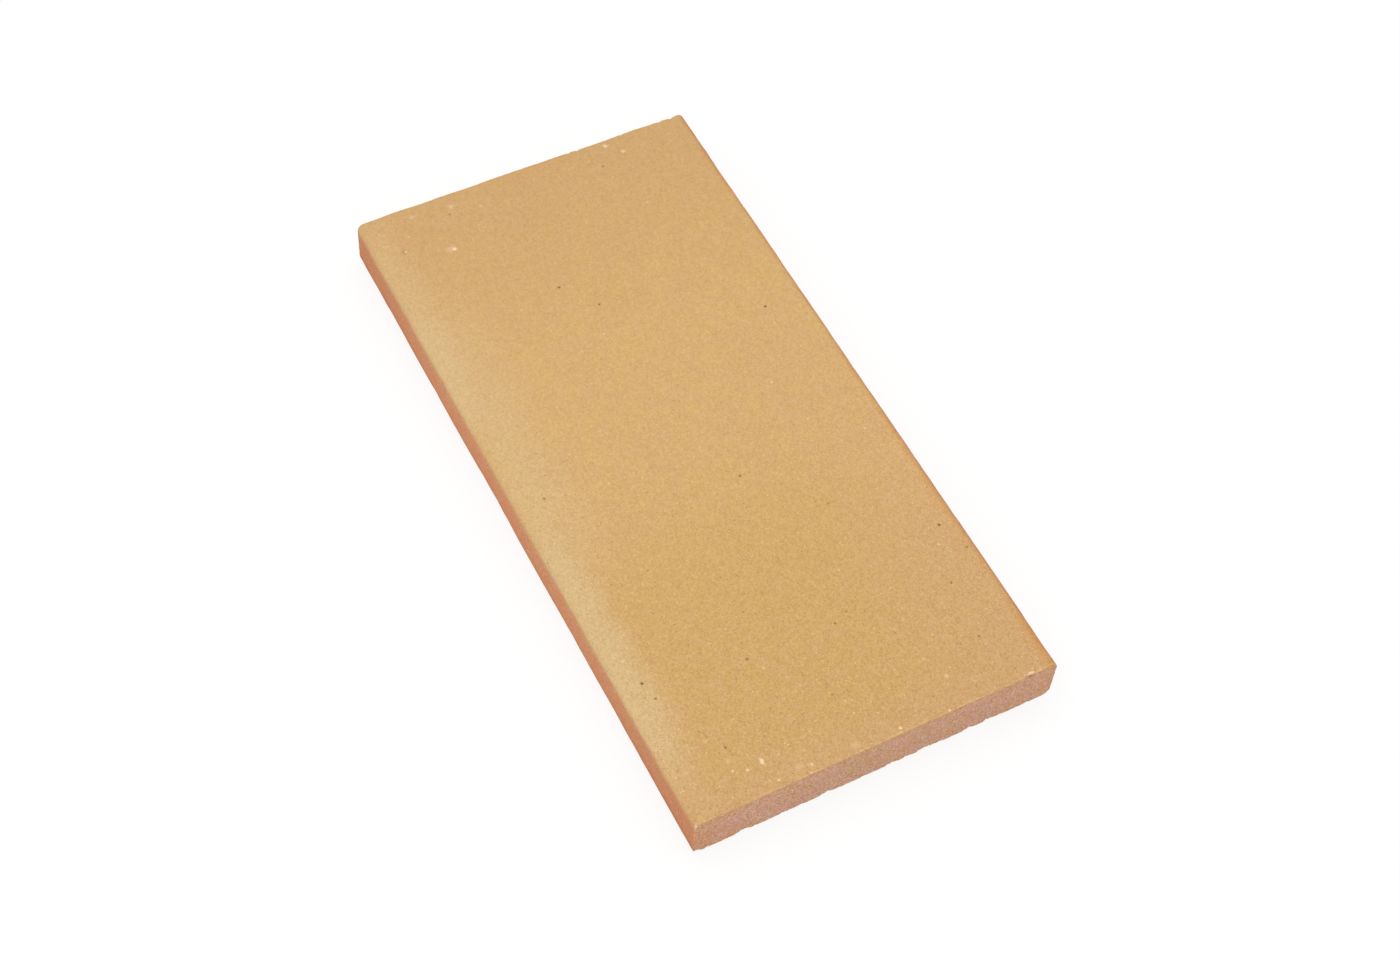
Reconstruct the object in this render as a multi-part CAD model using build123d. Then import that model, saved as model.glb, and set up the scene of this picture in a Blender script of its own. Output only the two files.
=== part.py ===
from build123d import *
import os

# A fireclay slab, fired in one piece. Clay is pushed through a die as a flat bar and cut to length,
# so the long edges carry the die's rounding and the two ends are square cuts.
# Frame: X along the length, Y across the width, Z up; the origin is the middle of the underside.

# Driving dimensions, in millimetres
slab_length = 400.0
slab_width = 200.0
slab_thickness = 30.0
long_arris_radius = 4.5
end_arris_radius = 0.8


def die_section():
    """Outline of the bar as it leaves the die, standing across the length at the slab's middle."""
    across_the_length = Plane((0, 0, slab_thickness / 2), x_dir=(0, 1, 0), z_dir=(1, 0, 0))
    return across_the_length * RectangleRounded(slab_width, slab_thickness, long_arris_radius)


def cut_bar(section):
    """The bar cut to length, half on each side of the middle."""
    return extrude(section, amount=slab_length / 2, both=True)


def break_end_arrises(bar):
    """Takes the knife edge off the arris all round both cut ends."""
    cut_ends = bar.faces().filter_by(Axis.X)
    return fillet(cut_ends.edges(), radius=end_arris_radius)


fireclay_slab = break_end_arrises(cut_bar(die_section()))

os.makedirs("parts", exist_ok=True)
export_step(fireclay_slab, "parts/fireclay_slab.step")
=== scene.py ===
"""Looks of a fireclay slab: a bar of fired clay with rounded long arrises and two torn cut ends."""

from __future__ import annotations

import logging
import math
import random
from dataclasses import dataclass, field
from enum import Enum
from functools import cached_property, partial

import bmesh
import bpy
from mathutils import Matrix, Vector, noise
from mathutils.kdtree import KDTree


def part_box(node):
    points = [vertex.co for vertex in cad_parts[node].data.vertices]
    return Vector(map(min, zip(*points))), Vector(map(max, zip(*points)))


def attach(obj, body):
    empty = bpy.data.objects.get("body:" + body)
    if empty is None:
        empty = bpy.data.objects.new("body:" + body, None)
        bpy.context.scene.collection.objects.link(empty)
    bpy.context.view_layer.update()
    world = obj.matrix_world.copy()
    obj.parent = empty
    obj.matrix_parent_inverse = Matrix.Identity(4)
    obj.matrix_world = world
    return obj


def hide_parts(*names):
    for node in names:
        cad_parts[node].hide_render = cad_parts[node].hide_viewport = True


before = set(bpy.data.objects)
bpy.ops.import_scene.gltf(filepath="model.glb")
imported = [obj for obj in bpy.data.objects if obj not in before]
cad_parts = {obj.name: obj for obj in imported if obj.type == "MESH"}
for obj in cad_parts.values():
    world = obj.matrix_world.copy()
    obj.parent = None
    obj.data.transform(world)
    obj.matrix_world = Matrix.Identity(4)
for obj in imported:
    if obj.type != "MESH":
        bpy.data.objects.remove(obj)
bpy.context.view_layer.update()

LOG = logging.getLogger("fireclay_slab")
MM = 0.001
SLAB_NODE = "fireclay_slab"
TORN = "torn"
# Painted shade in the hollows of the torn cut ends.
PAINTED_CAVITY_SHADE = "painted_cavity_shade"
MARK = "mark"
# Painted highlight on the worn arrises of the cut ends.
PAINTED_EDGE_HIGHLIGHT = "painted_edge_highlight"
BAKE_MAP = "OFBake"

Rgb = tuple[int, int, int]
Number = "Value | float"


def linear(colour: Rgb, light: float = 1.0) -> tuple[float, float, float, float]:
    """Turns a screen colour into the linear light that a shader takes.

    Args:
        colour: red, green and blue from 0 to 255.
        light: share of full light that the colour was seen under; the result is divided by it.

    Returns:
        Red, green and blue in linear light, and an alpha of 1.
    """
    channels = []
    for channel in colour:
        share = channel / 255
        straight = share / 12.92 if share <= 0.04045 else ((share + 0.055) / 1.055) ** 2.4
        channels.append(min(1.0, straight / light))
    return channels[0], channels[1], channels[2], 1.0


def smooth_step(low: float, high: float, value: float) -> float:
    """Eases from 0 at low to 1 at high.

    Args:
        low: where the result leaves 0.
        high: where the result reaches 1.
        value: the number to ease.

    Returns:
        A share from 0 to 1.
    """
    share = min(1.0, max(0.0, (value - low) / (high - low)))
    return share * share * (3 - 2 * share)


class Value:
    """A number in a shader tree; Python's operators on it add the Math nodes."""

    def __init__(self, tree: ShaderTree, socket: bpy.types.NodeSocket) -> None:
        """Wraps an output socket of one tree."""
        self.tree = tree
        self.socket = socket

    def _math(self, operation: str, first: Number, second: Number = 0.0) -> Value:
        """Adds one Math node.

        Args:
            operation: the node's operation.
            first: its first number.
            second: its second number.

        Returns:
            The node's result.
        """
        node = self.tree.add("ShaderNodeMath", {"operation": operation}, {0: first, 1: second})
        return Value(self.tree, node.outputs[0])

    def __add__(self, other: Number) -> Value:
        """Sum."""
        return self._math("ADD", self, other)

    __radd__ = __add__

    def __sub__(self, other: Number) -> Value:
        """Difference."""
        return self._math("SUBTRACT", self, other)

    def __rsub__(self, other: Number) -> Value:
        """Difference from a number."""
        return self._math("SUBTRACT", other, self)

    def __mul__(self, other: Number) -> Value:
        """Product."""
        return self._math("MULTIPLY", self, other)

    __rmul__ = __mul__

    def __truediv__(self, other: Number) -> Value:
        """Quotient."""
        return self._math("DIVIDE", self, other)

    def __abs__(self) -> Value:
        """Size without sign."""
        return self._math("ABSOLUTE", self)

    def at_most(self, other: Number) -> Value:
        """The smaller of two numbers."""
        return self._math("MINIMUM", self, other)

    def at_least(self, other: Number) -> Value:
        """The larger of two numbers."""
        return self._math("MAXIMUM", self, other)

    def above(self, other: Number) -> Value:
        """1 where this is more than the other number, and 0 elsewhere."""
        return self._math("GREATER_THAN", self, other)

    def ease(self, low: Number, high: Number) -> Value:
        """Eases from 0 at low to 1 at high.

        Args:
            low: where the result leaves 0.
            high: where the result reaches 1.

        Returns:
            A share from 0 to 1.
        """
        settings = {"interpolation_type": "SMOOTHSTEP", "clamp": True}
        links = {"Value": self, "From Min": low, "From Max": high}
        return Value(self.tree, self.tree.add("ShaderNodeMapRange", settings, links).outputs[0])

    def hump(self, middle: float, reach: float) -> Value:
        """Rises to 1 at a middle and falls to 0 at a reach on both sides of it."""
        return 1 - abs(self - middle).ease(reach * 0.35, reach)


class ShaderTree:
    """The nodes of a material or of the world, added one by one."""

    def __init__(self, owner: bpy.types.Material | bpy.types.World) -> None:
        """Starts with no nodes.

        Args:
            owner: the material or the world that the nodes are for.
        """
        owner.use_nodes = True
        self.owner = owner
        self.nodes = owner.node_tree.nodes
        self.links = owner.node_tree.links
        self.nodes.clear()

    @cached_property
    def place(self) -> bpy.types.NodeSocket:
        """The place on the piece, in millimetres."""
        coordinates = self.add("ShaderNodeTexCoord")
        return self.vector("SCALE", coordinates.outputs["Object"], scale=1 / MM)

    def add(self, kind: str, settings: dict | None = None, sockets: dict | None = None) -> bpy.types.Node:
        """Adds a node.

        Args:
            kind: the node's type.
            settings: its properties, set before its sockets are.
            sockets: input names or numbers, with the value or the output that each takes.

        Returns:
            The new node.
        """
        node = self.nodes.new(kind)
        for name, setting in (settings or {}).items():
            setattr(node, name, setting)
        for key, given in (sockets or {}).items():
            source = given.socket if isinstance(given, Value) else given
            if isinstance(source, bpy.types.NodeSocket):
                self.links.new(source, node.inputs[key])
            else:
                node.inputs[key].default_value = source
        return node

    def vector(
        self,
        operation: str,
        first: bpy.types.NodeSocket,
        second: tuple[float, float, float] = (0.0, 0.0, 0.0),
        scale: float = 1.0,
    ) -> bpy.types.NodeSocket:
        """Adds one Vector Math node.

        Args:
            operation: the node's operation.
            first: the vector it works on.
            second: the vector it works with.
            scale: the factor of a scaling.

        Returns:
            The resulting vector.
        """
        sockets = {0: first, 1: second, 3: scale}
        return self.add("ShaderNodeVectorMath", {"operation": operation}, sockets).outputs[0]

    def axes(self) -> tuple[Value, Value, Value]:
        """The place on the piece along X, Y and Z, in millimetres."""
        node = self.add("ShaderNodeSeparateXYZ", None, {0: self.place})
        return Value(self, node.outputs[0]), Value(self, node.outputs[1]), Value(self, node.outputs[2])

    def attribute(self, name: str) -> Value:
        """A number that the mesh carries at its vertices."""
        node = self.add("ShaderNodeAttribute", {"attribute_name": name, "attribute_type": "GEOMETRY"})
        return Value(self, node.outputs["Fac"])

    def shifted(self, shift: float, stretch: tuple[float, float, float]) -> bpy.types.NodeSocket:
        """The place in millimetres, moved and stretched so that no two patterns line up.

        Args:
            shift: how far the pattern is moved, the same along each axis.
            stretch: factors along X, Y and Z.

        Returns:
            The changed place.
        """
        moved = self.vector("ADD", self.place, (shift, shift, shift))
        return self.vector("MULTIPLY", moved, stretch)

    def mottle(
        self,
        size: float,
        shift: float,
        detail: float = 2.0,
        stretch: tuple[float, float, float] = (1.0, 1.0, 1.0),
    ) -> Value:
        """Cloudy noise.

        Args:
            size: width of a cloud in millimetres.
            shift: moves the pattern.
            detail: octaves of finer clouds.
            stretch: factors along X, Y and Z.

        Returns:
            A number about 0, mostly between -1 and 1.
        """
        place = self.shifted(shift, stretch)
        sockets = {"Vector": place, "Scale": 1 / size, "Detail": detail, "Roughness": 0.6}
        node = self.add("ShaderNodeTexNoise", {"noise_dimensions": "3D", "normalize": True}, sockets)
        return (Value(self, node.outputs[0]) - 0.5) * 3.0

    def specks(self, spacing: float, radius: float, share: float, shift: float) -> Value:
        """Scattered round grains.

        Args:
            spacing: mean distance between grains in millimetres, before some are left out.
            radius: largest radius of a grain in millimetres.
            share: share of the grains that are kept.
            shift: moves the pattern.

        Returns:
            1 on a grain and 0 off it.
        """
        sockets = {"Vector": self.shifted(shift, (1.0, 1.0, 1.0)), "Scale": 1 / spacing}
        node = self.add("ShaderNodeTexVoronoi", {"feature": "F1", "voronoi_dimensions": "3D"}, sockets)
        lots = self.add("ShaderNodeSeparateColor", None, {0: node.outputs["Color"]})
        distance = Value(self, node.outputs["Distance"]) * spacing
        kept = Value(self, lots.outputs[0]).above(1 - share)
        reach = Value(self, lots.outputs[1]) * (radius * 0.6) + radius * 0.4
        return (1 - distance.ease(reach * 0.55, reach)) * kept

    def grit(self, spacing: float, radius: float, shift: float) -> Value:
        """Close-set grains, some paler and some darker than the clay, most of them faint.

        Args:
            spacing: mean distance between grains in millimetres.
            radius: largest radius of a grain in millimetres.
            shift: moves the pattern.

        Returns:
            A number from -1 on the darkest grain to 1 on the palest, and 0 between grains.
        """
        sockets = {"Vector": self.shifted(shift, (1.0, 1.0, 1.0)), "Scale": 1 / spacing}
        node = self.add("ShaderNodeTexVoronoi", {"feature": "F1", "voronoi_dimensions": "3D"}, sockets)
        lots = self.add("ShaderNodeSeparateColor", None, {0: node.outputs["Color"]})
        tone = Value(self, lots.outputs[0]) * 2 - 1
        reach = Value(self, lots.outputs[1]) * (radius * 0.5) + radius * 0.5
        grain = 1 - (Value(self, node.outputs["Distance"]) * spacing).ease(reach * 0.25, reach)
        return tone * tone * tone * grain

    def mix(
        self,
        factor: Number,
        first: bpy.types.NodeSocket | tuple,
        second: bpy.types.NodeSocket | tuple,
        blend: str = "MIX",
    ) -> bpy.types.NodeSocket:
        """Mixes two colours.

        Args:
            factor: share of the second colour.
            first: a colour or a colour output.
            second: a colour or a colour output.
            blend: how the second colour is laid over the first.

        Returns:
            The mixed colour.
        """
        settings = {"data_type": "RGBA", "blend_type": blend, "clamp_factor": True}
        return self.add("ShaderNodeMix", settings, {0: factor, 6: first, 7: second}).outputs[2]

    def tint(self, level: Value, weights: tuple[float, float, float]) -> bpy.types.NodeSocket:
        """A near-white colour to multiply by.

        Args:
            level: how far the colour is lifted, or lowered where it is below 0.
            weights: share of the level that red, green and blue take.

        Returns:
            The colour.
        """
        red, green, blue = (1 + level * weight for weight in weights)
        return self.add("ShaderNodeCombineColor", None, {0: red, 1: green, 2: blue}).outputs[0]


@dataclass(frozen=True)
class FiredClay:
    """Finish of the slab: a sandy straw skin, flashed orange on its long sides, torn mauve at its ends."""

    name: str = "fired_fireclay"
    skin: Rgb = (218, 180, 113)
    skin_rosy: Rgb = (217, 172, 122)
    skin_dull: Rgb = (206, 163, 109)
    skin_gold: Rgb = (211, 171, 103)
    skin_blush: Rgb = (216, 168, 120)
    bloom: Rgb = (222, 191, 140)
    flash: Rgb = (200, 137, 96)
    # Deeper flash of the clay towards the cut ends, also used as painted shade low on the long sides.
    flash_deep_and_painted_shade: Rgb = (184, 118, 80)
    flash_brown: Rgb = (197, 147, 104)
    flash_rim: Rgb = (217, 151, 80)
    # Painted shade: a darker, greyer colour laid along the back arris where it curves away from the light.
    back_rim_painted_shade: Rgb = (188, 150, 112)
    flash_ruddy: Rgb = (207, 127, 90)
    flash_sandy: Rgb = (198, 145, 85)
    flash_rosy: Rgb = (203, 139, 111)
    torn: Rgb = (194, 152, 136)
    torn_warm: Rgb = (189, 150, 105)
    torn_ruddy: Rgb = (204, 146, 118)
    # Painted shade for the shadowed holes in the torn clay.
    torn_pit_shade: Rgb = (146, 112, 84)
    torn_grain: Rgb = (238, 206, 184)
    pale_grain: Rgb = (246, 214, 158)
    dark_grain: Rgb = (150, 98, 40)
    iron: Rgb = (120, 84, 42)
    cream_grain: Rgb = (242, 202, 154)
    white_grain: Rgb = (255, 230, 190)
    side_light: float = 0.9
    end_light: float = 0.876
    sand_weights: tuple[float, float, float] = (0.6, 1.05, 1.6)
    dullness: float = 0.86
    shine: float = 0.22

    def material(self, slab: FireclaySlab) -> bpy.types.Material:
        """Builds the material on the slab's own sizes.

        Args:
            slab: the slab that wears it.

        Returns:
            The finished material.
        """
        tree = ShaderTree(bpy.data.materials.new(self.name))
        torn = tree.attribute(TORN)
        skin = self._skin(tree, slab)
        broken = self._broken(tree, slab)
        colour = tree.mix(torn, skin, broken)
        colour = self._grains(tree, torn, colour)
        rough = self.dullness + tree.mottle(2.2, 71.0) * 0.04 + torn * 0.06
        bump = self._relief(tree, torn)
        shader = tree.add(
            "ShaderNodeBsdfPrincipled",
            None,
            {"Base Color": colour, "Roughness": rough, "Specular IOR Level": self.shine, "Normal": bump},
        )
        tree.add("ShaderNodeOutputMaterial", None, {"Surface": shader.outputs[0]})
        return tree.owner

    def _skin(self, tree: ShaderTree, slab: FireclaySlab) -> bpy.types.NodeSocket:
        """Colour of the fired skin on the broad faces, the arrises and the long sides, with painted shade
        along the back arris and low on the long sides.

        Args:
            tree: the material's nodes.
            slab: the slab that wears it.

        Returns:
            The skin's colour.
        """
        along, across, up = tree.axes()
        half_length, half_width = slab.length / 2 / MM, slab.width / 2 / MM
        thick = slab.thickness / MM
        from_front = across + half_width
        from_long_side = half_width - abs(across)
        below_top = thick - up

        patches = tree.mottle(5.5, 17.0, 3.0) * 0.75 + tree.mottle(17.0, 18.0) * 0.3
        patches = patches + tree.mottle(60.0, 19.0) * 0.2
        rosy = (patches + abs(along + 60.0).ease(60.0, 150.0) * 0.2).ease(-1.15, 1.15)
        base = tree.mix(rosy, linear(self.skin), linear(self.skin_rosy))
        out_along = along / half_length
        drift = out_along.ease(0.15, 1.0) * 0.55 + (0 - out_along).ease(0.3, 1.0) * 0.5
        base = tree.mix(drift + tree.mottle(40.0, 20.0) * 0.12, base, linear(self.skin_dull))
        golden = along.hump(150.0, 150.0) * across.hump(-25.0, 110.0) * (1 - along.ease(172.0, 200.0)) * 0.7
        base = tree.mix(golden, base, linear(self.skin_gold))
        blush = tree.mottle(6.5, 21.0, 3.0).ease(-0.4, 1.0) * out_along.ease(0.1, 0.7) * 0.75
        base = tree.mix(blush, base, linear(self.skin_blush))

        dapple = tree.mottle(9.0, 23.0, 3.0) * 7.0 + tree.mottle(30.0, 29.0) * 7.0
        to_bloom = from_front + dapple
        broad = (1 - to_bloom.ease(8.0, 46.0)) * to_bloom.ease(-10.0, 12.0)
        broad = broad * along.hump(-30.0, 125.0) * 0.47
        narrow = along.hump(95.0, 112.0) * 0.76 + along.hump(-85.0, 60.0) * 0.3
        narrow = narrow + along.hump(-120.0, 110.0) * 0.42
        narrow = narrow * (1 - (from_front + dapple * 0.5).ease(5.0, 25.0))
        bloom = broad.at_least(narrow) * up.ease(thick - 9.0, thick - 4.0)
        base = tree.mix(bloom, base, linear(self.bloom))

        wobble = tree.mottle(7.0, 11.0) * 0.8 + tree.mottle(26.0, 13.0) * 0.8
        back = across.ease(-20.0, 20.0) * up.ease(thick / 2, thick / 2 + 4.0)
        turned = below_top - from_long_side + wobble
        flashed = turned.ease(1.6 - back * 4.6, 7.8 - back * 6.6)
        raised = (up - from_long_side + wobble).ease(-4.0, 1.0)
        near = along.ease(-40.0, 80.0)
        rim = back * turned.ease(-4.6 - near * 2.4, -1.0) * (0.7 + tree.mottle(11.0, 31.0) * 0.5)
        corner = back * turned.ease(-8.5, -1.5) * along.hump(190.0, 36.0)
        from_far_end = along + half_length
        far_rim = (1 - from_far_end.ease(0.3, 1.8)) * (0.5 + tree.mottle(14.0, 33.0) * 0.4)
        far_glow = (1 - from_far_end.ease(2.0, 15.0)) * tree.mottle(15.0, 34.0).ease(0.1, 1.0) * 0.45
        rim = rim.at_least(corner).at_least(far_rim).at_least(far_glow)
        base = tree.mix(rim.at_least(0.0) * 0.75, base, linear(self.flash_rim))
        # Painted shade along the rounded back arris, where it turns away from the light, stronger towards
        # the near end.
        back_rim_shade_mask = back * turned.ease(-3.0, -0.5) * (0.15 + near * 0.6)
        base = tree.mix(back_rim_shade_mask, base, linear(self.back_rim_painted_shade))
        tone = below_top.ease(6.0, 15.0) + tree.mottle(5.0, 37.0, 3.0, (0.5, 1.0, 1.0)) * 0.8
        side = tree.mix(
            tone.at_least(0.0),
            linear(self.flash_brown, self.side_light),
            linear(self.flash, self.side_light),
        )
        ruddy = tree.mottle(4.0, 38.0, 1.0).ease(-0.35, 1.0)
        side = tree.mix(ruddy, side, linear(self.flash_ruddy, self.side_light))
        sandy = tree.mottle(6.0, 39.0, 1.0).ease(-0.2, 1.0) * 0.9
        side = tree.mix(sandy, side, linear(self.flash_sandy, self.side_light))
        rosy_side = tree.mottle(8.0, 36.0, 1.0).ease(-0.2, 1.0) * 0.8
        side = tree.mix(rosy_side, side, linear(self.flash_rosy, self.side_light))
        # Deeper flash towards the cut ends is the clay's own colour; the darkening low on the long sides,
        # near the floor, is painted shade.
        deep = abs(out_along).ease(0.35, 1.1) * 0.5 + (1 - (up + wobble).ease(3.0, 10.0)) * 0.55
        side = tree.mix(deep, side, linear(self.flash_deep_and_painted_shade, self.side_light))
        sand = tree.mottle(1.2, 35.0, 1.0) * 0.3
        side = tree.mix(1.0, side, tree.tint(sand, self.sand_weights), "MULTIPLY")
        return tree.mix(flashed * raised, base, side)

    def _broken(self, tree: ShaderTree, slab: FireclaySlab) -> bpy.types.NodeSocket:
        """Colour of the torn clay inside, on the cut ends and in the chips, with painted shade in its
        hollows.

        Args:
            tree: the material's nodes.
            slab: the slab that wears it.

        Returns:
            The torn clay's colour.
        """
        _, across, up = tree.axes()
        half_width = slab.width / 2 / MM
        from_side = half_width - abs(across)
        below_top = slab.thickness / MM - up
        rind = 1 - from_side.at_most(up + 7.0).ease(0.0, 14.0)
        drawn = 1 - (below_top + tree.mottle(5.0, 40.0)).ease(1.5, 6.0)
        patches = tree.mottle(6.0, 41.0, 2.0) * 0.8 + tree.mottle(22.0, 43.0) * 0.6
        warm = (rind * 0.35 + drawn * 1.1 + patches).ease(-1.0, 1.2)
        colour = tree.mix(warm, linear(self.torn, self.end_light), linear(self.torn_warm, self.end_light))
        ruddy = (tree.mottle(4.0, 42.0, 2.0) + tree.mottle(25.0, 44.0) * 0.5).ease(-0.3, 1.0) * 0.75
        colour = tree.mix(ruddy, colour, linear(self.torn_ruddy, self.end_light))
        edge = 1 - from_side.ease(0.4, 3.2 + tree.mottle(3.0, 45.0))
        flush = edge * (1 - up.ease(14.0, 24.0) * 0.6) * (0.75 - across.ease(-20.0, 20.0) * 0.5)
        front = (1 - (across + half_width + tree.mottle(6.0, 46.0) * 4.0).ease(5.0, 30.0)) * 0.24
        colour = tree.mix(flush.at_least(front), colour, linear(self.flash, self.side_light))
        # Painted shade: scattered dark spots stand in for shadowed holes in the torn clay.
        painted_pit_shade = tree.specks(6.0, 1.0, 0.4, 48.0) * 0.7
        colour = tree.mix(painted_pit_shade, colour, linear(self.torn_pit_shade, self.end_light))
        lift = (1 - up.ease(0.0, 11.0)) * 0.06 - front * 0.12
        # Painted shade: the torn clay is darkened where it lies furthest back from the cut, in its hollows.
        shade = lift - tree.attribute(PAINTED_CAVITY_SHADE) * 0.42 + tree.mottle(1.1, 47.0, 1.0) * 0.46
        return tree.mix(1.0, colour, tree.tint(shade, self.sand_weights), "MULTIPLY")

    def _grains(self, tree: ShaderTree, torn: Value, colour: bpy.types.NodeSocket) -> bpy.types.NodeSocket:
        """Sand, grog and iron specks over the whole piece, and a painted highlight of pale grains on the
        worn end arrises.

        Args:
            tree: the material's nodes.
            torn: where the clay is torn.
            colour: the clay's colour.

        Returns:
            The colour with its grains.
        """
        along, _, _ = tree.axes()
        nearer = along.ease(-170.0, 190.0) * 0.55 + 0.45
        sand = tree.mottle(0.7, 53.0, 1.0) * 0.235 * nearer + tree.mottle(1.7, 59.0, 1.0) * 0.1
        sand = sand + tree.mottle(5.0, 61.0) * 0.035
        colour = tree.mix(1.0, colour, tree.tint(sand, self.sand_weights), "MULTIPLY")
        grit = tree.grit(1.3, 0.6, 55.0) * (nearer + torn * 0.4)
        pale = grit.at_least(0.0) + tree.specks(8.0, 0.95, 0.3, 91.0) * 0.5
        # Painted highlight: pale grains lighten the worn arrises of the cut ends.
        pale = pale.at_least(tree.attribute(PAINTED_EDGE_HIGHLIGHT))
        dark = (0 - grit).at_least(0.0) * 0.75
        marks = tree.attribute(MARK)
        iron = (tree.specks(15.0, 0.8, 0.4, 83.0) * 0.5).at_least(0 - marks)
        colour = tree.mix(pale, colour, tree.mix(torn, linear(self.pale_grain), linear(self.torn_grain)))
        colour = tree.mix(dark, colour, linear(self.dark_grain))
        colour = tree.mix(iron, colour, linear(self.iron))
        burst = tree.mix(marks.ease(0.35, 0.9), linear(self.cream_grain), linear(self.white_grain))
        return tree.mix(marks.at_least(0.0), colour, burst)

    def _relief(self, tree: ShaderTree, torn: Value) -> bpy.types.NodeSocket:
        """Fine relief that is too small for the mesh, as a normal.

        Args:
            tree: the material's nodes.
            torn: where the clay is torn.

        Returns:
            The bumped normal.
        """
        skin = tree.mottle(0.7, 101.0, 1.0) * 0.03 + tree.mottle(2.6, 103.0) * 0.04
        rough = tree.mottle(1.1, 107.0, 3.0) * 0.2
        height = skin * (1 - torn) + rough * torn
        node = tree.add("ShaderNodeBump", None, {"Strength": 1.0, "Distance": MM, "Height": height})
        return node.outputs[0]


class End(Enum):
    """The slab's two cut ends, by the side of the middle that they lie on."""

    NEAR = 1
    FAR = -1


class Arris(Enum):
    """The two level edges of a cut end, by the side of mid thickness that they lie on."""

    TOP = 1
    BED = -1


@dataclass(frozen=True)
class Chip:
    """A bite out of a cut end's arris."""

    end: End
    arris: Arris
    across: float
    length: float
    depth: float
    pale: float = 0.0
    bare: float = 1.0

    def scoop(self, slab: FireclaySlab) -> tuple[Vector, float]:
        """The ball that cuts the bite.

        Args:
            slab: the slab that is chipped.

        Returns:
            The ball's centre and its radius.
        """
        radius = (self.length**2 / 4 + self.depth**2) / (2 * self.depth)
        out = Vector((self.end.value, 0.0, self.arris.value)).normalized()
        height = slab.thickness / 2 * (1 + self.arris.value)
        edge = Vector((self.end.value * slab.length / 2, self.across, height))
        return edge + out * (radius - self.depth), radius


class Blemish(Enum):
    """What breaks the skin of the top face, by how the mark's tone is counted."""

    PALE_GRAIN = 1
    IRON_SPECK = -1


@dataclass(frozen=True)
class Mark:
    """A burst grain, a scuff or an iron speck in the top; slender marks are long along the slab."""

    kind: Blemish
    along: float
    across: float
    width: float
    strength: float
    slender: float
    depth: float
    below: float

    @classmethod
    def at(
        cls,
        kind: Blemish,
        along: float,
        across: float,
        width: float,
        strength: float,
        slender: float = 1.0,
        depth: float = 0.3,
        below: float = 0.0,
    ) -> Mark:
        """Makes a mark from lengths in millimetres.

        Args:
            kind: what the mark is.
            along: its place along the slab.
            across: its place across the slab.
            width: how wide it is.
            strength: how far it hides the skin's colour, from 0 to 1.
            slender: how many times longer it is along the slab than across it.
            depth: how deep it is sunk.
            below: how far its middle lies below the top.

        Returns:
            The mark.
        """
        return cls(kind, along * MM, across * MM, width * MM, strength, slender, depth * MM, below * MM)


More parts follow.
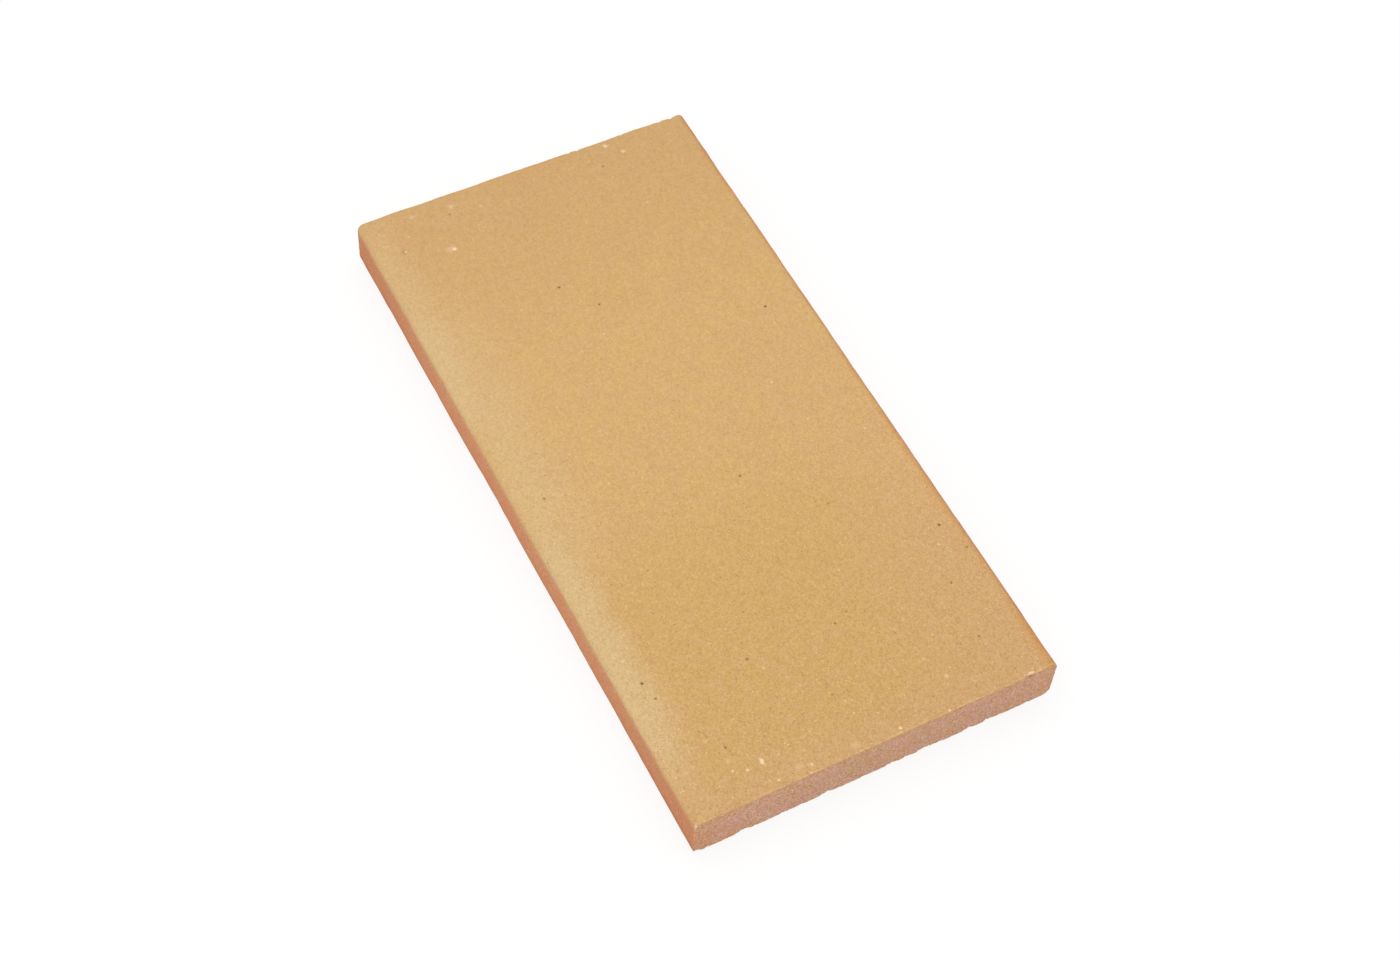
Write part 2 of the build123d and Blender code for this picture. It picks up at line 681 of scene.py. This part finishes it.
@dataclass
class FireclaySlab:
    """The slab as fired, cut and handled; all sizes in metres."""

    length: float
    width: float
    thickness: float
    long_arris: float = 4.5 * MM
    arris_steps: int = 6
    body_pitch: float = 2.0 * MM
    end_zone: float = 6.0 * MM
    end_splits: int = 3
    end_height_pitch: float = 0.75 * MM
    seed: int = 7
    mark_torn: float = 0.25
    wear: dict[tuple[End, Arris], float] = field(
        default_factory=lambda: {
            (End.NEAR, Arris.TOP): 0.8 * MM,
            (End.NEAR, Arris.BED): 0.3 * MM,
            (End.FAR, Arris.TOP): 0.85 * MM,
            (End.FAR, Arris.BED): 0.3 * MM,
        }
    )
    finish: FiredClay = field(default_factory=FiredClay)
    chips: list[Chip] = field(default_factory=list)
    marks: list[Mark] = field(default_factory=list)

    def build(self) -> bpy.types.Object:
        """Makes the slab's piece and dresses it.

        Returns:
            The finished object, riding on the part's body.
        """
        mesh = bmesh.new()
        self._bar(mesh)
        self._divide(mesh)
        self._divide_marks(mesh)
        self._lay_map(mesh)
        self._weather(mesh)
        data = bpy.data.meshes.new("fireclay_slab_body")
        mesh.to_mesh(data)
        mesh.free()
        piece = bpy.data.objects.new("fireclay_slab_body", data)
        bpy.context.scene.collection.objects.link(piece)
        data.materials.append(self.finish.material(self))
        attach(piece, "root")
        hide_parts(SLAB_NODE)
        return piece

    def _bar(self, mesh: bmesh.types.BMesh) -> None:
        """A block with its four long arrises rounded.

        Args:
            mesh: the empty mesh to fill.
        """
        bmesh.ops.create_cube(mesh, size=1.0)
        bmesh.ops.scale(mesh, vec=(self.length, self.width, self.thickness), verts=mesh.verts)
        bmesh.ops.translate(mesh, vec=(0.0, 0.0, self.thickness / 2), verts=mesh.verts)
        long_edges = [e for e in mesh.edges if abs(e.verts[0].co.x - e.verts[1].co.x) > self.length / 2]
        bmesh.ops.bevel(
            mesh,
            geom=long_edges,
            offset=self.long_arris,
            offset_type="OFFSET",
            affect="EDGES",
            segments=self.arris_steps,
            profile=0.5,
            material=-1,
        )

    def _slice(self, mesh: bmesh.types.BMesh, faces: list, axis: Vector, stations: list[float]) -> list:
        """Cuts some faces by planes across an axis.

        Args:
            mesh: the slab's mesh.
            faces: the faces to cut.
            axis: unit vector that the planes stand across.
            stations: places of the planes along the axis.

        Returns:
            The faces that come out of the cuts.
        """
        geometry = list(faces)
        geometry += dict.fromkeys(e for f in faces for e in f.edges)
        geometry += dict.fromkeys(v for f in faces for v in f.verts)
        for station in stations:
            cut = bmesh.ops.bisect_plane(
                mesh, geom=geometry, dist=1e-3 * MM, plane_co=axis * station, plane_no=axis
            )
            geometry = cut["geom"]
        return [g for g in geometry if isinstance(g, bmesh.types.BMFace)]

    @staticmethod
    def _stations(first: float, last: float, pitch: float) -> list[float]:
        """Even places between two limits, without the limits.

        Args:
            first: lower limit.
            last: upper limit.
            pitch: wanted distance between places.

        Returns:
            The places.
        """
        count = max(1, round((last - first) / pitch))
        return [first + (last - first) * k / count for k in range(1, count)]

    def _divide(self, mesh: bmesh.types.BMesh) -> None:
        """Divides the bar into small faces, finest at the cut ends.

        Args:
            mesh: the slab's mesh.
        """
        along, across, up = Vector((1, 0, 0)), Vector((0, 1, 0)), Vector((0, 0, 1))
        flat = self.width / 2 - self.long_arris
        body_end = self.length / 2 - self.end_zone
        self._slice(mesh, mesh.faces[:], along, [-body_end, body_end])
        coarse = [-flat, *self._stations(-flat, flat, self.body_pitch), flat]
        fine_pitch = (coarse[1] - coarse[0]) / self.end_splits
        fine = [-flat, *self._stations(-flat, flat, fine_pitch), flat]
        turns = [math.radians(90 * k / self.arris_steps) for k in range(1, self.arris_steps)]
        corner = [self.long_arris * (1 - math.cos(turn)) for turn in turns]
        rim = [side * (self.width / 2 - inset) for inset in corner for side in (-1, 1)]
        low, high = self.long_arris, self.thickness - self.long_arris
        fine_levels = [low, *self._stations(low, high, self.end_height_pitch), high]
        rim_levels = corner + [self.thickness - inset for inset in corner]
        levels = self._stations(low, high, self.body_pitch)
        near_edge = [0.25, 0.6, 1.05, 1.6, 2.25, 3.0, 3.85, 4.8]
        for end in End:
            zone = [f for f in mesh.faces if f.calc_center_median().x * end.value > body_end]
            zone = self._slice(mesh, zone, across, fine + rim)
            zone = self._slice(mesh, zone, up, fine_levels + rim_levels)
            outer = [end.value * (self.length / 2 - inset * MM) for inset in near_edge]
            self._slice(mesh, zone, along, outer)
        body = [f for f in mesh.faces if abs(f.calc_center_median().x) < body_end]
        body = self._slice(mesh, body, along, self._stations(-body_end, body_end, self.body_pitch))
        body = self._slice(mesh, body, up, levels)
        self._slice(mesh, body, across, coarse[1:-1])

    def _divide_marks(self, mesh: bmesh.types.BMesh) -> None:
        """Makes the faces round each mark small enough to hold it.

        Args:
            mesh: the slab's mesh.
        """
        fine = self.body_pitch * 0.6
        for mark in self.marks:
            place = Vector((mark.along, mark.across, self.thickness - mark.below))
            reach = mark.width * 0.5 + self.body_pitch * 0.8
            faces = [f for f in mesh.faces if (f.calc_center_median() - place).length < reach]
            edges = dict.fromkeys(e for f in faces for e in f.edges if e.calc_length() > fine)
            bmesh.ops.subdivide_edges(mesh, edges=list(edges), cuts=3, use_grid_fill=True)

    def _lay_map(self, mesh: bmesh.types.BMesh) -> None:
        """Lays the skin out as one unrolled sheet and the two cut ends beside it.

        Args:
            mesh: the slab's mesh, before it is weathered.
        """
        layer = mesh.loops.layers.uv.new(BAKE_MAP)
        gap = 4.0 * MM
        girth = self._girth(Vector((0.0, 0.0, 0.0)), 1.0)[1]
        wide = self.length + self.thickness + 3 * gap
        high = max(girth, 2 * self.width + gap) + 2 * gap
        for face in mesh.faces:
            middle = face.calc_center_median()
            cut = abs(abs(middle.x) - self.length / 2) < 1e-6
            for loop in face.loops:
                place = loop.vert.co
                if cut:
                    u = gap * 2 + self.length + place.z
                    shift = 0.0 if middle.x > 0 else self.width + gap
                    v = gap + shift + place.y + self.width / 2
                else:
                    u = gap + place.x + self.length / 2
                    v = gap + self._girth(place, middle.y)[0]
                loop[layer].uv = (u / wide, v / high)

    def _girth(self, place: Vector, hint: float) -> tuple[float, float]:
        """How far round the section a place lies, from the middle of the bed towards the back long side.

        Args:
            place: a place on the skin.
            hint: which side of the middle a place on the seam belongs to.

        Returns:
            The distance round the section, and the whole way round.
        """
        flat = self.width / 2 - self.long_arris
        rise = self.thickness - 2 * self.long_arris
        bend = self.long_arris * math.pi / 2
        side = math.copysign(1.0, place.y if abs(place.y) > 1e-9 else hint)
        across, up = abs(place.y), place.z
        out, over = across - flat, up - self.long_arris
        if out <= 1e-9:
            half = across if up < self.thickness / 2 else flat + 2 * bend + rise + flat - across
        elif over < 0:
            half = flat + self.long_arris * math.atan2(out, -over)
        elif over <= rise:
            half = flat + bend + over
        else:
            half = flat + bend + rise + self.long_arris * math.atan2(over - rise, out)
        whole = 2 * (2 * flat + 2 * bend + rise)
        return (half if side > 0 else whole - half), whole

    def _inset(self, place: Vector) -> tuple[float, Vector]:
        """How deep a place lies inside the section's outline.

        Args:
            place: a place on the bar.

        Returns:
            The depth, and the way out to the outline.
        """
        out = abs(place.y) - (self.width / 2 - self.long_arris)
        over = abs(place.z - self.thickness / 2) - (self.thickness / 2 - self.long_arris)
        sides = Vector((0.0, math.copysign(1.0, place.y), math.copysign(1.0, place.z - self.thickness / 2)))
        if out > 0 and over > 0:
            reach = math.hypot(out, over)
            return self.long_arris - reach, Vector((0.0, sides.y * out / reach, sides.z * over / reach))
        if out > over:
            return self.long_arris - out, Vector((0.0, sides.y, 0.0))
        return self.long_arris - over, Vector((0.0, 0.0, sides.z))

    def _weather(self, mesh: bmesh.types.BMesh) -> None:
        """Moves the vertices into the shape that cutting, firing and handling leave.

        Args:
            mesh: the divided bar.
        """
        torn = mesh.verts.layers.float.new(TORN)
        painted_cavity_shade = mesh.verts.layers.float.new(PAINTED_CAVITY_SHADE)
        tone = mesh.verts.layers.float.new(MARK)
        painted_edge_highlight = mesh.verts.layers.float.new(PAINTED_EDGE_HIGHLIGHT)
        for vert in mesh.verts:
            place = vert.co.copy()
            depth, out = self._inset(place)
            from_end = self.length / 2 - abs(place.x)
            vert.co = self._worn(place, depth, out, from_end)
            grain = 0.33 + 0.8 * noise.noise(place / (2.0 * MM))
            # Painted highlight where wear rounded the arris, broken into grains.
            vert[painted_edge_highlight] = smooth_step(0.0, 0.25 * MM, (vert.co - place).length) * max(0.0, grain)
            if from_end < 1e-7:
                tear = self._tear(place) * smooth_step(0.1 * MM, 1.1 * MM, depth)
                vert.co.x -= math.copysign(tear, place.x)
                # Painted shade for the hollows of the tear, which the material darkens.
                vert[painted_cavity_shade] = smooth_step(0.35 * MM, 1.1 * MM, tear)
                vert[torn] = self._laid_bare(place, depth)
            else:
                vert.co -= out * self._unevenness(place)
        self._bite(mesh, torn, tone)
        self._burst(mesh, torn, tone)
        for face in mesh.faces:
            face.smooth = True

    def _worn(self, place: Vector, depth: float, out: Vector, from_end: float) -> Vector:
        """Rounds the arris of a cut end by as much as it is worn there.

        Args:
            place: a place on the sharp bar.
            depth: how deep it lies inside the section.
            out: the way out to the section's outline.
            from_end: how far it lies from its cut end.

        Returns:
            The worn place.
        """
        end = End.NEAR if place.x > 0 else End.FAR
        low, high = self.wear[end, Arris.BED], self.wear[end, Arris.TOP]
        rise = smooth_step(0.3, 0.7, place.z / self.thickness)
        rough = noise.noise(place / (12.0 * MM)) * (0.6 + 0.6 * rise)
        rough += noise.noise(place / (2.5 * MM)) * (1.3 - 0.8 * rise)
        radius = (low + (high - low) * rise) * max(0.2, 1.0 + rough)
        if from_end >= radius or depth >= radius:
            return place
        along = math.copysign(1.0, place.x)
        middle = place - out * (radius - depth)
        middle.x = along * (self.length / 2 - radius)
        return middle + (place - middle).normalized() * radius

    def _laid_bare(self, place: Vector, depth: float) -> float:
        """Share of torn clay on a cut end, where the skin of the top is drawn a little way down over it.

        Args:
            place: a place on the cut end.
            depth: how deep it lies inside the section.

        Returns:
            A share from 0 to 1.
        """
        ragged = noise.noise(place / (4.0 * MM)) * 0.9 * MM + noise.noise(place / (1.3 * MM)) * 0.6 * MM
        drawn = self.thickness - place.z + ragged
        return smooth_step(0.05 * MM, 0.4 * MM, depth) * smooth_step(0.9 * MM, 2.5 * MM, drawn)

    def _tear(self, place: Vector) -> float:
        """How far the torn clay lies back from the plane of the cut.

        Args:
            place: a place on the cut end.

        Returns:
            The distance, never less than nothing.
        """
        swell = 0.2 * MM * (1 + noise.fractal(place / (12.0 * MM), 1.0, 2.0, 2))
        grain = 0.17 * MM * (1 + noise.noise(place / (2.1 * MM)))
        grain += 0.1 * MM * noise.noise(place / (0.9 * MM))
        bent = place + noise.noise_vector(place / (1.4 * MM)) * 0.5 * MM
        spots, cells = noise.voronoi(bent / (2.8 * MM))
        lot = noise.cell(cells[0] * 7.3)
        dip = max(0.0, 1 - (spots[0] / 0.3) ** 2)
        pit = 0.5 * MM * dip * (lot - 0.3) if lot > 0.3 else -0.12 * MM * dip
        return max(0.0, swell + grain + pit)

    def _unevenness(self, place: Vector) -> float:
        """How far the fired skin dips below its flat, which it does more along the long sides.

        Args:
            place: a place on the skin.

        Returns:
            The distance, never less than nothing.
        """
        side = self.width / 2
        beside = smooth_step(side - 2 * self.long_arris, side - 0.5 * self.long_arris, abs(place.y))
        beside *= smooth_step(0.0, 12.0 * MM, self.length / 2 - abs(place.x))
        broad = noise.noise(place / (50.0 * MM)) * (0.13 + 0.3 * beside) * MM
        close = noise.noise(place / (14.0 * MM)) * 0.035 * MM
        nicks = noise.noise(place / (6.5 * MM)) * 0.18 * MM * beside
        return max(0.0, 0.1 * MM + broad + close + nicks)

    def _bite(self, mesh: bmesh.types.BMesh, torn: object, tone: object) -> None:
        """Takes the chips out of the end arrises.

        Args:
            mesh: the worn bar.
            torn: vertex layer of torn clay.
            tone: vertex layer of pale and dark marks.
        """
        tree = KDTree(len(mesh.verts))
        for index, vert in enumerate(mesh.verts):
            tree.insert(vert.co, index)
        tree.balance()
        mesh.verts.ensure_lookup_table()
        for chip in self.chips + self._small_chips():
            centre, radius = chip.scoop(self)
            for _, index, _ in tree.find_range(centre, radius * 1.08):
                vert = mesh.verts[index]
                away = vert.co - centre
                ragged = radius * (1 + 0.05 * noise.noise(vert.co / (1.6 * MM)))
                dug = ragged - away.length
                if dug <= 0:
                    continue
                vert.co = centre + away.normalized() * ragged
                broken = smooth_step(0.02 * MM, 0.2 * MM, dug)
                rim = broken * (1 - smooth_step(0.2 * chip.depth, 0.6 * chip.depth, dug))
                grain = 0.75 + noise.noise(vert.co / (1.1 * MM))
                vert[torn] = max(vert[torn], broken * chip.bare)
                vert[tone] = max(vert[tone], chip.pale * rim * min(1.0, max(0.0, grain)))

    def _small_chips(self) -> list[Chip]:
        """Small chips scattered along the end arrises, more on the bed side.

        Returns:
            The chips, the same on each run.
        """
        draw = random.Random(self.seed)
        chips = []
        for end in End:
            for arris, count, longest in ((Arris.TOP, 18, 6.0), (Arris.BED, 34, 9.0)):
                for _ in range(count):
                    across = draw.uniform(-0.5, 0.5) * (self.width - 2 * self.long_arris)
                    length = draw.uniform(1.5, longest) * MM
                    depth = length * draw.uniform(0.06, 0.12)
                    chips.append(Chip(end, arris, across, length, depth))
        return chips

    def _burst(self, mesh: bmesh.types.BMesh, torn: object, tone: object) -> None:
        """Sinks the marks into the top face.

        Args:
            mesh: the worn bar.
            torn: vertex layer of torn clay.
            tone: vertex layer of pale and dark marks.
        """
        upper = [vert for vert in mesh.verts if vert.co.z > self.thickness / 2]
        for mark in self.marks:
            place = Vector((mark.along, mark.across, self.thickness - mark.below))
            for vert in upper:
                away = vert.co - place
                reach = math.hypot(away.x, away.y * mark.slender, away.z)
                if reach > mark.width:
                    continue
                edge = mark.width / 2 * (1 + 0.45 * noise.noise(vert.co / (0.9 * MM)))
                sunk = 1 - smooth_step(edge * 0.35, edge, reach)
                vert.co.z -= mark.depth * sunk
                vert[tone] += (mark.kind.value * mark.strength - vert[tone]) * sunk
                if mark.kind is Blemish.PALE_GRAIN:
                    vert[torn] = max(vert[torn], self.mark_torn * mark.strength * sunk)


@dataclass(frozen=True)
class PhotoCamera:
    """Camera at the photograph's viewing angle."""

    aim: tuple[float, float, float] = (0.029311, -0.008568, 0.030033)
    distance: float = 1.18163
    azimuth: float = 57.9238
    elevation: float = 55.4206
    roll: float = 5.5097
    lens_mm: float = 59.78682
    sensor_mm: float = 36.0

    def build(self) -> bpy.types.Object:
        """Makes the camera and looks through it.

        Returns:
            The camera.
        """
        turn, rise = math.radians(self.azimuth), math.radians(self.elevation)
        back = Vector((math.sin(turn) * math.cos(rise), -math.cos(turn) * math.cos(rise), math.sin(rise)))
        right = Vector((0, 0, 1)).cross(back).normalized()
        level = Matrix((right, back.cross(right), back)).transposed()
        data = bpy.data.cameras.new("photo_camera")
        data.lens = self.lens_mm
        data.sensor_width = self.sensor_mm
        camera = bpy.data.objects.new("photo_camera", data)
        turned = level @ Matrix.Rotation(math.radians(self.roll), 3, "Z")
        camera.matrix_world = Matrix.Translation(Vector(self.aim) + back * self.distance) @ turned.to_4x4()
        bpy.context.scene.collection.objects.link(camera)
        bpy.context.scene.camera = camera
        return camera


@dataclass(frozen=True)
class Lamp:
    """A square soft lamp that faces the slab."""

    name: str
    place: tuple[float, float, float]
    width: float
    watts: float

    def build(self) -> bpy.types.Object:
        """Makes the lamp.

        Returns:
            The lamp.
        """
        data = bpy.data.lights.new(self.name, "AREA")
        data.shape = "SQUARE"
        data.size = self.width
        data.energy = self.watts
        lamp = bpy.data.objects.new(self.name, data)
        place = Vector(self.place)
        lamp.matrix_world = Matrix.Translation(place) @ place.to_track_quat("Z", "Y").to_matrix().to_4x4()
        bpy.context.scene.collection.objects.link(lamp)
        return lamp


@dataclass(frozen=True)
class Studio:
    """Plain pale floor and soft light."""

    floor_size: float = 14.0
    floor_drop: float = 0.2 * MM
    floor_tone: float = 0.97
    white_share: float = 0.8
    white_glow: float = 1.03
    sky_light: float = 0.71
    lamps: tuple[Lamp, ...] = (
        Lamp("soft_lamp", (-0.2, -0.3, 1.7), 1.6, 9.0),
        Lamp("fill_lamp", (1.5, -0.5, 0.7), 1.2, 3.0),
    )

    def build(self) -> list[bpy.types.Object]:
        """Makes the floor, the lamps and the sky.

        Returns:
            The floor and the lamps.
        """
        bpy.context.scene.view_settings.view_transform = "Standard"
        self._sky()
        return [self._floor(), *(lamp.build() for lamp in self.lamps)]

    def _floor(self) -> bpy.types.Object:
        """A white floor that keeps a pale shadow.

        Returns:
            The floor.
        """
        mesh = bmesh.new()
        bmesh.ops.create_grid(mesh, x_segments=4, y_segments=4, size=self.floor_size / 2)
        bmesh.ops.translate(mesh, vec=(0.0, 0.0, -self.floor_drop), verts=mesh.verts)
        data = bpy.data.meshes.new("floor")
        mesh.to_mesh(data)
        mesh.free()
        floor = bpy.data.objects.new("floor", data)
        bpy.context.scene.collection.objects.link(floor)
        tree = ShaderTree(bpy.data.materials.new("pale_floor"))
        paint = tree.add("ShaderNodeBsdfDiffuse", None, {"Color": (self.floor_tone,) * 3 + (1.0,)})
        white = (1.0, 1.0, 1.0, 1.0)
        glow = tree.add("ShaderNodeEmission", None, {"Color": white, "Strength": self.white_glow})
        share = self._seen(tree) * self.white_share
        both = tree.add("ShaderNodeMixShader", None, {0: share, 1: paint.outputs[0], 2: glow.outputs[0]})
        tree.add("ShaderNodeOutputMaterial", None, {"Surface": both.outputs[0]})
        data.materials.append(tree.owner)
        return floor

    @staticmethod
    def _seen(tree: ShaderTree) -> Value:
        """Tells rays that show the background, straight or in a shine.

        Args:
            tree: the nodes of the floor's paint or of the sky.

        Returns:
            1 for such rays and 0 for others.
        """
        path = tree.add("ShaderNodeLightPath")
        seen = Value(tree, path.outputs["Is Camera Ray"])
        seen = seen.at_least(Value(tree, path.outputs["Is Glossy Ray"]))
        return seen.at_least(Value(tree, path.outputs["Is Transmission Ray"]))

    def _sky(self) -> None:
        """Even light from all round, white where it is seen."""
        world = bpy.data.worlds.new("even_sky")
        bpy.context.scene.world = world
        tree = ShaderTree(world)
        white = (1.0, 1.0, 1.0, 1.0)
        soft = tree.add("ShaderNodeBackground", None, {"Color": white, "Strength": self.sky_light})
        seen = tree.add("ShaderNodeBackground", None, {"Color": white, "Strength": 1.0})
        sockets = {0: self._seen(tree), 1: soft.outputs[0], 2: seen.outputs[0]}
        both = tree.add("ShaderNodeMixShader", None, sockets)
        tree.add("ShaderNodeOutputWorld", None, {"Surface": both.outputs[0]})


def photographed_chips() -> list[Chip]:
    """The larger chips on the end arrises, as the photograph shows them.

    Returns:
        The chips.
    """
    return [
        Chip(End.FAR, Arris.TOP, 91.0 * MM, 9.0 * MM, 0.95 * MM),
        Chip(End.FAR, Arris.TOP, 30.0 * MM, 11.0 * MM, 0.6 * MM),
        Chip(End.NEAR, Arris.TOP, 74.0 * MM, 7.0 * MM, 0.7 * MM, 0.5),
        Chip(End.NEAR, Arris.TOP, 84.0 * MM, 11.0 * MM, 1.3 * MM, 0.9),
        Chip(End.NEAR, Arris.TOP, 98.0 * MM, 13.0 * MM, 2.3 * MM, bare=0.0),
        Chip(End.NEAR, Arris.BED, -99.0 * MM, 9.0 * MM, 1.5 * MM),
        Chip(End.NEAR, Arris.TOP, 38.5 * MM, 3.0 * MM, 0.45 * MM, 0.7),
    ]


def photographed_marks() -> list[Mark]:
    """Burst grains, scuffs and iron specks on the top face, as the photograph shows them.

    Returns:
        The marks.
    """
    grain = partial(Mark.at, Blemish.PALE_GRAIN)
    speck = partial(Mark.at, Blemish.IRON_SPECK)
    return [
        grain(-163.0, -60.5, 5.5, 0.45, slender=0.7),
        grain(-162.5, -58.5, 3.4, 1.0),
        speck(-171.8, -84.2, 5.2, 0.25),
        grain(-171.8, -83.2, 2.4, 0.8),
        grain(-192.6, -70.8, 4.4, 0.5, depth=0.1),
        grain(-190.9, -48.4, 4.2, 0.55, depth=0.1),
        grain(-184.5, -33.0, 4.0, 0.45, slender=1.8, depth=0.1),
        grain(-195.6, 48.4, 4.0, 0.75),
        grain(-188.0, 56.0, 4.0, 0.65),
        grain(-150.0, 14.5, 4.5, 0.35, slender=2.2, depth=0.1),
        grain(184.0, -56.3, 6.4, 0.85, slender=2.2),
        grain(185.0, -64.5, 2.0, 0.9),
        grain(182.4, -71.0, 2.0, 0.85),
        grain(176.7, -70.7, 3.6, 0.4, slender=0.8, depth=0.1),
        grain(195.9, -53.9, 2.3, 1.0),
        grain(195.8, -35.8, 2.2, 1.0),
        grain(194.0, -42.0, 4.8, 0.42, slender=0.8, depth=0.15),
        grain(182.2, 46.2, 3.2, 0.65),
        grain(169.2, 41.0, 2.2, 0.6),
        grain(197.2, 11.8, 2.6, 1.0),
        grain(195.8, -12.2, 4.4, 0.34, slender=0.7, depth=0.1),
        grain(173.0, -4.7, 2.0, 0.7),
        grain(159.3, 51.9, 1.9, 0.7),
        grain(139.9, -31.6, 1.9, 0.7),
        grain(-9.9, 54.4, 2.0, 0.8),
        grain(78.3, 74.8, 2.0, 0.6),
        grain(115.4, 82.0, 2.2, 0.7),
        grain(199.4, -99.2, 2.2, 0.9, depth=0.1, below=2.2),
        grain(199.4, -38.0, 1.8, 0.8, depth=0.1),
        grain(199.4, 38.0, 1.9, 0.9, depth=0.1),
        grain(198.8, 81.2, 2.2, 0.55),
        grain(199.0, 84.6, 2.3, 0.95, slender=0.5),
        grain(198.4, 90.2, 2.2, 0.5, slender=0.7),
        speck(-186.0, -51.0, 1.8, 0.6),
        speck(-114.5, -19.0, 1.9, 1.0),
        speck(-95.0, -4.6, 1.7, 0.85),
        speck(-182.4, 40.6, 1.7, 0.65),
        speck(-56.1, 75.6, 1.9, 1.0),
        speck(5.6, -84.7, 1.9, 0.75),
        speck(35.6, 11.0, 1.9, 0.75),
        speck(122.1, -88.4, 2.0, 1.0),
        speck(132.2, -86.1, 1.9, 0.75),
        speck(132.1, -36.4, 1.9, 0.9),
        speck(105.4, 88.2, 2.1, 1.0),
        speck(123.0, 94.0, 1.7, 0.8),
        speck(137.8, 76.0, 1.8, 0.8),
        speck(170.1, 72.4, 1.6, 0.7),
        speck(199.6, 84.2, 2.4, 0.5, slender=0.35, below=2.0),
        speck(170.1, -68.4, 1.7, 0.75),
        speck(133.0, 12.0, 1.8, 0.75),
        speck(69.8, 43.6, 1.6, 0.65),
    ]


def main() -> None:
    """Builds the slab, its light and its camera, and says what was made."""
    logging.basicConfig(level=logging.INFO, format="%(name)s: %(message)s")
    low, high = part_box(SLAB_NODE)
    size = high - low
    slab = FireclaySlab(size.x, size.y, size.z, chips=photographed_chips(), marks=photographed_marks())
    piece = slab.build()
    triangles = sum(len(face.vertices) - 2 for face in piece.data.polygons)
    LOG.info("%s: %d triangles", piece.name, triangles)
    for thing in Studio().build() + [PhotoCamera().build()]:
        LOG.info("%s: in place", thing.name)


if __name__ == "__main__":
    main()
